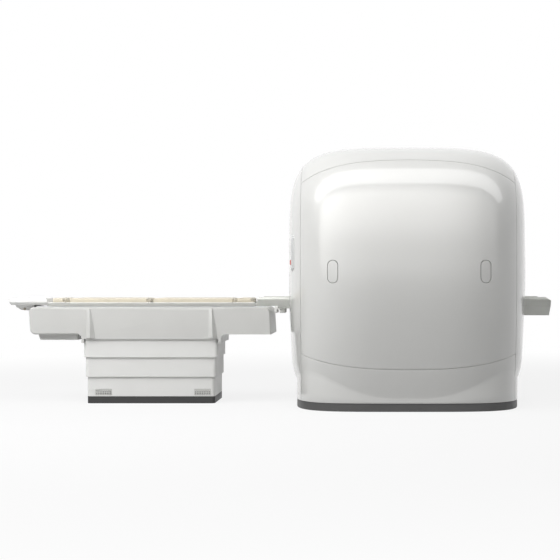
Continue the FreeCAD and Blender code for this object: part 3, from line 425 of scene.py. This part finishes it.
def oblong(angle, length, width, power):
    """Distance from the middle to a squircle's outline."""
    along, across = np.abs(np.cos(angle)), np.abs(np.sin(angle))
    return ((along / length) ** power + (across / width) ** power) ** (-1 / power)


def barrel(angle, z):
    length, width = half_sizes(z)
    return oblong(angle, np.maximum(length, 1e-4), np.maximum(width, 1e-4), BARREL_POWER)


def skirt(angle):
    return oblong(angle, SKIRT_LENGTH, SKIRT_WIDTH, SKIRT_POWER)


print("half sizes at the low seam: %.3f by %.3f m" % half_sizes(0.306))

# %% [markdown]
# ### Columns, and the crease
# The surface is a grid whose columns go round it in even steps. In each column the crease is
# found by halving: the barrel is inside the skirt below it and outside above it.

# %% Columns and crease
DENSE, COLUMNS = 4001, 400


def evenly(points, count, closed):
    """Where along a line of dense points to stand for even steps."""
    gaps = np.linalg.norm(np.diff(points, axis=0), axis=1)
    walked = np.concatenate([[0], np.cumsum(gaps)])
    stops = np.linspace(0, walked[-1], count, endpoint=not closed)
    return np.interp(stops, walked, np.arange(len(points)))


turns = np.linspace(0, math.tau, DENSE)
ring = barrel(turns, WAIST) * np.array([np.cos(turns), np.sin(turns)])
columns = np.interp(evenly(ring.T, COLUMNS, True), np.arange(DENSE), turns)
crease, above_crease = np.full(COLUMNS, 0.06), np.full(COLUMNS, 0.46)
for _ in range(30):
    middle = (crease + above_crease) / 2
    inside = barrel(columns, middle) < skirt(columns)
    crease = np.where(inside, middle, crease)
    above_crease = np.where(inside, above_crease, middle)
print("crease from %.3f to %.3f m above the floor" % (crease.min(), crease.max()))

# %% [markdown]
# ### Rows
# Rows climb the skirt to the crease, then the barrel to the waist, closest together where it
# turns most, and then run over the roof in even steps to its middle.

# %% The whole surface as a grid
to_roof = WAIST + (ROOF - WAIST) * np.linspace(0, 1, 2001)
profile = np.array([half_sizes(to_roof)[1], to_roof]).T
roof_rows = np.interp(evenly(profile, 74, False), np.arange(2001), profile[:, 1])[1:-1]
rows = [SKIRT_BASE + (crease - SKIRT_BASE) * share for share in (0, 0.3, 0.6, 0.85)]
rows += [crease + (WAIST - crease) * share for share in np.linspace(0, 1, 44) ** 1.15]
rows += [np.full(COLUMNS, z) for z in roof_rows]
heights = np.array(rows)
on_skirt = np.where(heights < crease + 1e-6, skirt(columns), 0)
reach = np.maximum(barrel(columns, heights), on_skirt)
GRID = np.stack([reach * np.cos(columns), reach * np.sin(columns), heights], axis=2)
print("grid", GRID.shape)

# %% [markdown]
# ## Cutting the surface into covers
# Booleans with thin cutters could part the covers, but they leave ragged edges on a curved
# surface. Here each cover is the part of the grid where some signed distances are positive: so
# far inside a seam, so far outside a hole.

# %% The part of the grid that a cover needs
MARGIN = 0.03


def surface_mesh(wanted):
    """Faces of the grid with any corner where no wanted distance is below minus the margin."""
    flat = GRID.reshape(-1, 3)
    near = np.all([distance(flat) > -MARGIN for distance in wanted], axis=0)
    form = bmesh.new()
    made = {}

    def corner(index):
        if index not in made:
            made[index] = form.verts.new(flat[index])
        return made[index]

    count = GRID.shape[1]
    for row in range(GRID.shape[0] - 1):
        for column in range(count):
            after = (column + 1) % count
            square = [row * count + column, row * count + after]
            square += [index + count for index in reversed(square)]
            if near[square].any():
                form.faces.new([corner(index) for index in square])
    if near[-count:].all():
        tip = form.verts.new((0, 0, ROOF))
        last = (GRID.shape[0] - 1) * count
        for column in range(count):
            form.faces.new([corner(last + column), corner(last + (column + 1) % count), tip])
    return form


print(GRID.shape[0] * GRID.shape[1], "grid points to choose from")

# %% [markdown]
# ### The knife
# To cut exactly along a curved line, every point is moved to where its first coordinate is its
# distance from the line, the mesh is cut by one flat plane, and the points go back. A small
# outline needs small faces, so those near it are divided first.

# %% Knife
def places(form):
    return np.array([vert.co for vert in form.verts])


def trim(form, distance):
    """Keeps the side where the distance is positive."""
    layer = form.verts.layers.float_vector.new("place")
    for vert, away in zip(form.verts, distance(places(form))):
        vert[layer] = vert.co
        vert.co = (away, vert.co.x + vert.co.y, vert.co.z)
    everything = form.verts[:] + form.edges[:] + form.faces[:]
    bmesh.ops.bisect_plane(
        form, geom=everything, dist=1e-7, plane_co=(0, 0, 0), plane_no=(1, 0, 0), clear_inner=True
    )
    for vert in form.verts:
        vert.co = vert[layer]
    form.verts.layers.float_vector.remove(layer)


def refine(form, distance, reach, levels=2):
    """Divides the faces near a line, so that a small outline is cut cleanly."""
    for level in range(levels):
        middles = np.array([face.calc_center_median() for face in form.faces])
        close = np.abs(distance(middles)) < reach / (level + 1)
        edges = {edge for face, hit in zip(form.faces[:], close) if hit for edge in face.edges}
        bmesh.ops.subdivide_edges(form, edges=list(edges), cuts=1, use_grid_fill=True)


print("knife: trim, refine")

# %% [markdown]
# ### Seams as distances
# The seams near both ends are straight. The one under the roof droops towards the ends and the
# one above the skirt rises, as the photograph shows, so their heights are curves in X.

# %% Seams
SEAM, GAP = 0.790, 0.0013


def within(p):
    return SEAM - GAP - np.abs(p[:, 0])


def ahead(p):
    return -p[:, 0] - SEAM - GAP


def behind(p):
    return p[:, 0] - SEAM - GAP


def above_top_seam(p):
    x = p[:, 0]
    return p[:, 2] - (1.822 - 0.105 * x**2 - 0.245 * x**4)


def above_low_seam(p):
    x = p[:, 0]
    return p[:, 2] - (0.306 + 0.095 * x**2 + 0.105 * x**4)


def on_side(sign):
    """Distance on the near or the far side of the middle."""
    return lambda p: sign * p[:, 1]


def less(distance, gap):
    return lambda p: distance(p) - gap


def inverse(distance, gap=0.0):
    return lambda p: -distance(p) - gap


print("seams at", SEAM, "m from the middle, %.1f mm wide" % (2000 * GAP))

# %% [markdown]
# ### Holes as distances
# The plugs are stadiums, which are all points near a short upright line. The panels and the
# laser window are oblongs with round corners, drawn on the surface as seen from the front.

# %% Holes
BORE_HEIGHT, MOUTH = 0.985, 0.4625
PLUG_X, PLUG_Z, PLUG_RADIUS, PLUG_STRAIGHT, PLUG_GAP = 0.548, 1.010, 0.0375, 0.0445, 0.0020
PANEL_Y, PANEL_Z, PANEL_FORM = 0.620, 1.150, (0.0505, 0.131, 0.0250)
LASER_Z, LASER_FORM, LASER_GAP = 1.485, (0.045, 0.015, 0.004), 0.0008


def from_mouth(p):
    return np.hypot(p[:, 1], p[:, 2] - BORE_HEIGHT) - MOUTH


def from_plugs(p):
    """Distance outside the stadium of the nearer plug."""
    up = np.maximum(0, np.abs(p[:, 2] - PLUG_Z) - PLUG_STRAIGHT)
    return np.hypot(np.abs(p[:, 0]) - PLUG_X, up) - PLUG_RADIUS


def from_oblong(u, v, half_u, half_v, corner):
    du, dv = np.abs(u) - half_u + corner, np.abs(v) - half_v + corner
    outside = np.hypot(np.maximum(du, 0), np.maximum(dv, 0))
    return outside + np.minimum(np.maximum(du, dv), 0) - corner


def from_panels(p):
    return from_oblong(np.abs(p[:, 1]) - PANEL_Y, p[:, 2] - PANEL_Z, *PANEL_FORM)


def from_laser(p):
    return from_oblong(p[:, 1], p[:, 2] - LASER_Z, *LASER_FORM)


print("bore mouth %.3f m wide, middle %.3f m above the floor" % (2 * MOUTH, BORE_HEIGHT))

# %% [markdown]
# ## Covers
# Each cover is a moulding 8 mm thick. After cutting, it gets that wall inwards, and its edges are
# eased by just over a millimetre. A dark line could be painted for a seam, but two eased edges
# side by side, with a real gap, make the fine shadow line that a real seam has from any side.

# %% Covers
COVER, EASED = 0.008, 0.0012


def cover(node, wanted, fine=(), depth=COVER):
    form = surface_mesh(wanted)
    for distance in fine:
        refine(form, distance, 0.02)
    for distance in wanted:
        trim(form, distance)
    bmesh.ops.remove_doubles(form, verts=form.verts, dist=2e-5)
    bmesh.ops.recalc_face_normals(form, faces=form.faces[:])
    piece = in_place(node.replace("_", "-"), form, node, 60)
    walled(piece, depth)
    bevelled(piece, EASED, 2, 60)
    apply_modifiers(piece)
    print("%-18s %6d faces" % (piece.name, len(piece.data.polygons)))


SIDES = (("near", -1), ("far", 1))
front_holes = [less(from_panels, 0.0), less(from_laser, LASER_GAP)]
upper_side = [within, inverse(above_top_seam, GAP), less(above_low_seam, GAP)]
upper_side.append(less(from_plugs, PLUG_GAP))
cover("top_cover", [within, less(above_top_seam, GAP)])
cover("front_cover", [ahead, from_mouth] + front_holes, [from_panels, from_laser])
cover("rear_cover", [behind, from_mouth])
for side, sign in SIDES:
    cover("side_cover_" + side, upper_side + [on_side(sign)], [from_plugs])
    cover("lower_panel_" + side, [within, inverse(above_low_seam, GAP), on_side(sign)])
cover("side_plugs", [within, inverse(from_plugs, PLUG_GAP)], [from_plugs])
cover("laser_window", [ahead, inverse(from_laser)], [from_laser], 0.005)

# %% [markdown]
# ## Plinth
# The dark foot is a kick strip in four lengths under the skirt. It is the skirt's outline drawn
# in by 4 mm, so that a thin shadow parts the two. Its lengths meet at the covers' seams, but
# they butt: each runs on past its cover's edge, to 0.1 mm from the next, because light from the
# floor behind would shine through a wider gap.

# %% Plinth
DRAWN_IN, RUN_ON = 0.004, 0.0012


def plinth(node, wanted):
    form = bmesh.new()
    radius = skirt(columns) - DRAWN_IN
    loops = [
        [form.verts.new((r * math.cos(t), r * math.sin(t), z)) for r, t in zip(radius, columns)]
        for z in (0.0, 0.03, 0.058)
    ]
    for low, high in zip(loops, loops[1:]):
        for i in range(len(low)):
            j = (i + 1) % len(low)
            form.faces.new([low[i], low[j], high[j], high[i]])
    for distance in wanted:
        trim(form, distance)
    piece = in_place(node.replace("_", "-"), form, node, 60)
    walled(piece, 0.012)
    bevelled(piece, 0.0015, 2, 60).harden_normals = True
    apply_modifiers(piece)
    print("%-18s %6d faces" % (piece.name, len(piece.data.polygons)))


plinth("plinth_front", [less(ahead, -RUN_ON)])
plinth("plinth_rear", [less(behind, -RUN_ON)])
for side, sign in SIDES:
    plinth("plinth_" + side, [less(within, -RUN_ON), on_side(sign)])

# %% [markdown]
# ## Bore
# The lining is a plain tube. Each mouth is a trumpet: a long arc that ends in a small rolled
# lip. A turned profile makes both, but the covers bow and a turned lip would stand off them, so
# the trumpet is drawn out to meet the cover at each angle round the bore.

# %% Profile of a mouth
BORE, LINING_END, LINING_WALL = 0.35, 0.6885, 0.006
START, FLARE, LIP, WALL = 0.690, 0.297, 0.040, 0.008


def mouth_profile():
    """Points (x from the lining, radius) of the visible side, then of the back."""
    turn_out = math.radians(43.4)
    face, back = [], []
    for turn in np.linspace(0, turn_out, 22):
        point = np.array([FLARE * math.sin(turn), BORE + FLARE * (1 - math.cos(turn))])
        face.append(point)
        back.append(point + WALL * np.array([-math.sin(turn), math.cos(turn)]))
    middle = face[-1] + LIP * np.array([-math.sin(turn_out), math.cos(turn_out)])
    for turn in np.linspace(turn_out, math.pi / 2, 9)[1:]:
        out = np.array([math.sin(turn), -math.cos(turn)])
        face.append(middle + LIP * out)
        back.append(middle + (LIP - WALL) * out)
    return face + back[::-1]


mouth = mouth_profile()
deepest = max(x for x, r in mouth)
print("mouth %.3f m deep, %.3f m wide at its lip" % (deepest, 2 * max(r for x, r in mouth)))

# %% Mouths and lining
AROUND, RIM, PROUD = 160, 0.455, 0.001


def cover_reach(y, z):
    """How far along X the covers reach at a point beside the mouth."""
    length, width = half_sizes(z)
    return length * (1 - (abs(y) / width) ** BARREL_POWER) ** (1 / BARREL_POWER)


def spun(name, node, profile, stretch):
    """A profile turned about the bore, each ring point drawn out by its own stretch."""
    form = bmesh.new()
    loops = []
    for step in range(AROUND):
        turn = math.tau * step / AROUND
        across, up = math.sin(turn), math.cos(turn)
        loops.append([
            form.verts.new((stretch(across, up, x), r * across, BORE_HEIGHT + r * up))
            for x, r in profile
        ])
    for step in range(AROUND):
        one, two = loops[step], loops[(step + 1) % AROUND]
        for i in range(len(profile)):
            j = (i + 1) % len(profile)
            form.faces.new([one[i], two[i], two[j], one[j]])
    bmesh.ops.recalc_face_normals(form, faces=form.faces[:])
    return in_place(name, form, node, 50)


for end, way in (("front", -1), ("rear", 1)):
    def drawn_out(across, up, x, way=way):
        rim = cover_reach(RIM * across, BORE_HEIGHT + RIM * up) + PROUD - START
        return way * (START + max(x, 0) * rim / deepest)

    spun("funnel-" + end, "funnel_" + end, mouth, drawn_out)
tube_outside = BORE + LINING_WALL
lining = [(-LINING_END, BORE), (LINING_END, BORE), (LINING_END, tube_outside)]
lining.append((-LINING_END, tube_outside))
spun("bore-liner", "bore_liner", lining, lambda across, up, x: x)
print("bore lined with", AROUND, "steps round")

# %% [markdown]
# ## Vent grilles
# Air for the lift's motor goes in through a plate of small square holes at each lower corner.
# Cutting each hole would leave many thin faces. Instead a grid of cells is laid out, the cells
# that are holes are left out, and the rest is thickened.

# %% Grilles
HOLES, ROWS = 9, 3
PLATE_WIDTH, PLATE_FOOT, PLATE_HEAD, MARGIN_AROUND = 0.129, 0.0625, 0.1115, 0.0005


def grille(form, low_x, high_x, y):
    xs = np.linspace(low_x, high_x, 2 * HOLES + 2)
    zs = np.linspace(PLATE_FOOT, PLATE_HEAD, 2 * ROWS + 2)
    grid = [[form.verts.new((x, y, z)) for x in xs] for z in zs]
    for row in range(len(zs) - 1):
        for column in range(len(xs) - 1):
            if row % 2 and column % 2:
                continue
            a, b = grid[row][column], grid[row][column + 1]
            c, d = grid[row + 1][column + 1], grid[row + 1][column]
            form.faces.new([a, b, c, d] if y < 0 else [d, c, b, a])


form = bmesh.new()
low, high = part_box("vent_grilles")
left, right = low.x + MARGIN_AROUND, high.x - MARGIN_AROUND
for y in (low.y + MARGIN_AROUND, high.y - MARGIN_AROUND):
    grille(form, left, low.x + PLATE_WIDTH, y)
    grille(form, high.x - PLATE_WIDTH, right, y)
plates = in_place("vent-grilles", form, "vent_grilles")
walled(plates, 0.003)
apply_modifiers(plates)
print("grilles", len(plates.data.polygons), "faces")

# %% [markdown]
# ## Mattress
# The mattress is four foam pads in vinyl. Rounded boxes would look like blocks. So a pad starts a
# little small, as a closed box divided finely, and cloth with pressure inside swells it until
# the cover is tight, which crowns the top and draws the sides in between the corners. The
# underside is flat, because it lies in the tabletop's tray.

# %% Pad blanks
PAD_INSET = (0.004, 0.004, 0.005)
PAD_CELL = (0.012, 0.012, 0.008)


def pad_blank(node):
    """A finely divided box, inside the node's own box."""
    low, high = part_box(node)
    form = bmesh.new()
    bmesh.ops.create_cube(form, size=1)
    size, middle = high - low, (low + high) / 2
    for vert in form.verts:
        vert.co = [middle[i] + vert.co[i] * (size[i] - 2 * PAD_INSET[i]) for i in range(3)]
    for axis in range(3):
        count = max(3, int(size[axis] / PAD_CELL[axis]))
        edges = [
            edge for edge in form.edges
            if abs((edge.verts[1].co - edge.verts[0].co).normalized()[axis]) > 0.9
        ]
        bmesh.ops.subdivide_edges(form, edges=edges, cuts=count - 1, use_grid_fill=True)
    bmesh.ops.recalc_face_normals(form, faces=form.faces[:])
    return in_place(node.replace("_", "-"), form, node, 80)


print("cells of", PAD_CELL, "m")

# %% Swelling
FRAMES, MOST_SWELL, CLEAR = 20, 0.007, 0.0003


def swell(piece, low, high):
    """Blows the cover up with cloth, then holds every point inside the node's box."""
    start = np.array([vert.co for vert in piece.data.vertices])
    cloth = piece.modifiers.new("cloth", "CLOTH")
    settings = cloth.settings
    settings.quality, settings.mass = 6, 0.3
    settings.use_pressure, settings.uniform_pressure_force = True, 4.0
    settings.effector_weights.gravity = 0.0
    settings.tension_stiffness = settings.compression_stiffness = 12
    settings.bending_stiffness = 2.0
    cloth.point_cache.frame_end = FRAMES
    for number in range(1, FRAMES + 1):
        bpy.context.scene.frame_set(number)
    apply_modifiers(piece)
    bpy.context.scene.frame_set(1)
    moved = np.array([vert.co for vert in piece.data.vertices]) - start
    far = np.linalg.norm(moved, axis=1, keepdims=True)
    moved *= np.minimum(1, MOST_SWELL / np.maximum(far, 1e-9))
    end = np.clip(start + moved, np.array(low) + CLEAR, np.array(high) - CLEAR)
    for vert, place in zip(piece.data.vertices, end):
        vert.co = place


print("swells for", FRAMES, "frames, by", MOST_SWELL, "m at most")

# %% Pads
for node in ("mattress_foot", "mattress_leg", "mattress_body", "mattress_head"):
    piece = pad_blank(node)
    swell(piece, *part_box(node))
    smooth = piece.modifiers.new("smooth", "SUBSURF")
    smooth.levels = smooth.render_levels = 1
    apply_modifiers(piece)
    piece.data.shade_smooth()
    print("%-16s %d faces" % (piece.name, len(piece.data.polygons)))

# %% [markdown]
# ## Camera
# The photograph is a product shot on white. Its camera stands level with the bore, far off and
# square to the machine's side. A shift moves the picture sideways without turning the camera,
# so upright edges stay upright.

# %% Camera
camera = bpy.data.objects.new("camera", bpy.data.cameras.new("camera"))
camera.location = (-0.28, -10.70, 0.95)
camera.rotation_euler = (math.pi / 2, 0, 0)
camera.data.lens, camera.data.sensor_width = 87.1, 36
camera.data.shift_x = -0.161
bpy.context.collection.objects.link(camera)
bpy.context.scene.camera = camera
print("lens", round(camera.data.lens, 1), "mm")

# %% [markdown]
# ## Lamps
# The light is soft and mostly from the upper left, with little from the lower right. A long
# strip overhead draws the bright band along the gantry's shoulder. The other lamps would show
# in the lacquer as bright rectangles that the photograph doesn't have. A photographer hangs
# cloth before them, and here they are hidden from reflections. One of them stands behind the
# machine, so that its far side isn't black.

# %% Lamps
def softbox(name, place, target, width, height, power):
    lamp = bpy.data.lights.new(name, "AREA")
    lamp.shape, lamp.size, lamp.size_y, lamp.energy = "RECTANGLE", width, height, power
    stand = bpy.data.objects.new(name, lamp)
    stand.location = place
    stand.rotation_euler = (Vector(target) - Vector(place)).to_track_quat("-Z", "Y").to_euler()
    bpy.context.collection.objects.link(stand)
    return stand


softbox("strip", (0.0, -2.0, 4.5), (0.0, -2.0, 0.0), 18.0, 2.0, 190)
machine = (-0.6, -0.5, 1.0)
diffused = [
    softbox("key", (-4.3, -2.8, 3.5), machine, 4.0, 2.4, 215),
    softbox("top", (-0.6, -3.4, 5.1), machine, 2.4, 2.4, 70),
    softbox("rim", (2.2, -1.2, 5.1), machine, 2.4, 2.4, 30),
    softbox("back", (-1.2, 6.5, 3.2), machine, 4.0, 2.4, 110),
]
for lamp in diffused:
    lamp.visible_glossy = False
print(len(diffused) + 1, "lamps,", len(diffused), "of them hidden from reflections")

# %% [markdown]
# ## Cloth for the reflections
# A polished cover shows what stands before it. Here that is a cloth that gets brighter upwards,
# and darker to the right, with edges that fade out so that none is seen in the covers. It adds
# light to what is behind it and hides nothing, and it lights no surface but through reflections.

# %% Cloth
def fading(tree, parts, fades):
    """Product of soft steps, each (axis, where it starts, where it ends, level before, after)."""
    level = 1.0
    for axis, *limits in fades:
        step = smooth_range(tree, parts[axis], *limits)
        level = add(tree, "Math", {0: level, 1: step}, operation="MULTIPLY").outputs["Value"]
    return level


def flat_sheet(name, corners, material):
    mesh = bpy.data.meshes.new(name)
    mesh.from_pydata(corners, [], [(0, 1, 2, 3)])
    mesh.materials.append(material)
    sheet = bpy.data.objects.new(name, mesh)
    bpy.context.collection.objects.link(sheet)
    return sheet


material = bpy.data.materials.new("cloth_glow")
material.use_nodes = True
tree = material.node_tree
place = tree.nodes.new("ShaderNodeTexCoord").outputs["Object"]
level = fading(tree, add(tree, "SeparateXYZ", {"Vector": place}).outputs, [
    ("Z", -0.4, 3.4, 0.0, 1.9), ("X", -3.0, 16.0, 1.0, 0.4), ("X", -42.0, -20.0, 0.0, 1.0),
    ("X", 20.0, 42.0, 1.0, 0.0), ("Z", 9.0, 15.0, 1.0, 0.0),
])
glow = add(tree, "Emission", {"Color": (1.0, 0.99, 0.97, 1), "Strength": level})
both = add(tree, "AddShader")
tree.links.new(glow.outputs["Emission"], both.inputs[0])
tree.links.new(add(tree, "BsdfTransparent").outputs["BSDF"], both.inputs[1])
tree.links.new(both.outputs["Shader"], tree.nodes["Material Output"].inputs["Surface"])
cloth = flat_sheet("cloth", [(-42, 0, 0), (42, 0, 0), (42, 0, 15), (-42, 0, 15)], material)
cloth.location = (0, -11.5, 0)
cloth.visible_diffuse = False
print("cloth", tuple(round(size) for size in cloth.dimensions), "m")

# %% [markdown]
# ## White room
# The background is white in the photograph. More light would whiten it, but would burn out the
# covers as well. So the room is white only for what the lens sees, straight, in a reflection or
# through glass, and the world hardly lights the machine.

# %% White room
def looked_at(tree):
    """1 for what the lens sees, straight or by a reflection or through glass."""
    seen = add(tree, "LightPath").outputs
    share = seen["Is Camera Ray"]
    for other in ("Is Glossy Ray", "Is Transmission Ray"):
        share = add(tree, "Math", {0: share, 1: seen[other]}, operation="MAXIMUM").outputs["Value"]
    return share


def choose(tree, share, shader, other, output):
    """Mixes two shaders by a share of the second, and gives the mix to the output."""
    mixed = add(tree, "MixShader", {"Fac": share})
    tree.links.new(shader, mixed.inputs[1])
    tree.links.new(other, mixed.inputs[2])
    tree.links.new(mixed.outputs["Shader"], tree.nodes[output].inputs["Surface"])


world = bpy.data.worlds.new("studio")
bpy.context.scene.world = world
world.use_nodes = True
tree = world.node_tree
ambient = tree.nodes["Background"]
ambient.inputs["Color"].default_value = (0.97, 0.98, 1.0, 1)
ambient.inputs["Strength"].default_value = 0.05
white = add(tree, "Background", {"Strength": 1.0, "Color": (1, 1, 1, 1)})
both = ambient.outputs["Background"], white.outputs["Background"]
choose(tree, looked_at(tree), *both, "World Output")
print("ambient light", round(ambient.inputs["Strength"].default_value, 2))

# %% [markdown]
# ## Floor
# The floor is a pale surface that takes the machine's shadow, with white mixed in for the lens:
# most of it near the machine and all of it far away, where floor and backdrop have to melt into
# one. Under the gantry it isn't mixed in, because that floor would shine out of the plinth's
# joints. The dark patch has the skirt's own outline, a little smaller.

# %% Floor
FLOOR, NEAR, FAR, NEAR_WHITE = 60, 3.0, 8.0, 0.84
SHADE_LENGTH, SHADE_WIDTH = 0.83, 0.935


def calculated(tree, operation, *values):
    return add(tree, "Math", dict(enumerate(values)), operation=operation).outputs["Value"]


material, tree, shader, place = blank_finish("studio_floor")
surface(tree, shader, (0.55, 0.55, 0.55), 0.005, (0.7, 0.8), place)
away = add(tree, "VectorMath", {0: place}, operation="LENGTH").outputs["Value"]
whiteness = smooth_range(tree, away, NEAR, FAR, NEAR_WHITE, 1.0)
parts = add(tree, "SeparateXYZ", {"Vector": place}).outputs
powers = []
for axis, half in (("X", SHADE_LENGTH), ("Y", SHADE_WIDTH)):
    ratio = calculated(tree, "ABSOLUTE", calculated(tree, "DIVIDE", parts[axis], half))
    powers.append(calculated(tree, "POWER", ratio, SKIRT_POWER))
open_floor = smooth_range(tree, calculated(tree, "ADD", *powers), 0.8, 1.0, 0.0, 1.0)
whiteness = calculated(tree, "MULTIPLY", whiteness, open_floor)
whiteness = calculated(tree, "MULTIPLY", looked_at(tree), whiteness)
glow = add(tree, "Emission", {"Color": (1, 1, 1, 1), "Strength": 1.0})
both = shader.outputs["BSDF"], glow.outputs["Emission"]
choose(tree, whiteness, *both, "Material Output")
corners = [(-FLOOR, -FLOOR, 0), (FLOOR, -FLOOR, 0), (FLOOR, FLOOR, 0), (-FLOOR, FLOOR, 0)]
floor = flat_sheet("floor", corners, material)
bpy.context.scene.view_settings.view_transform = "Standard"
print("floor", 2 * FLOOR, "m square")
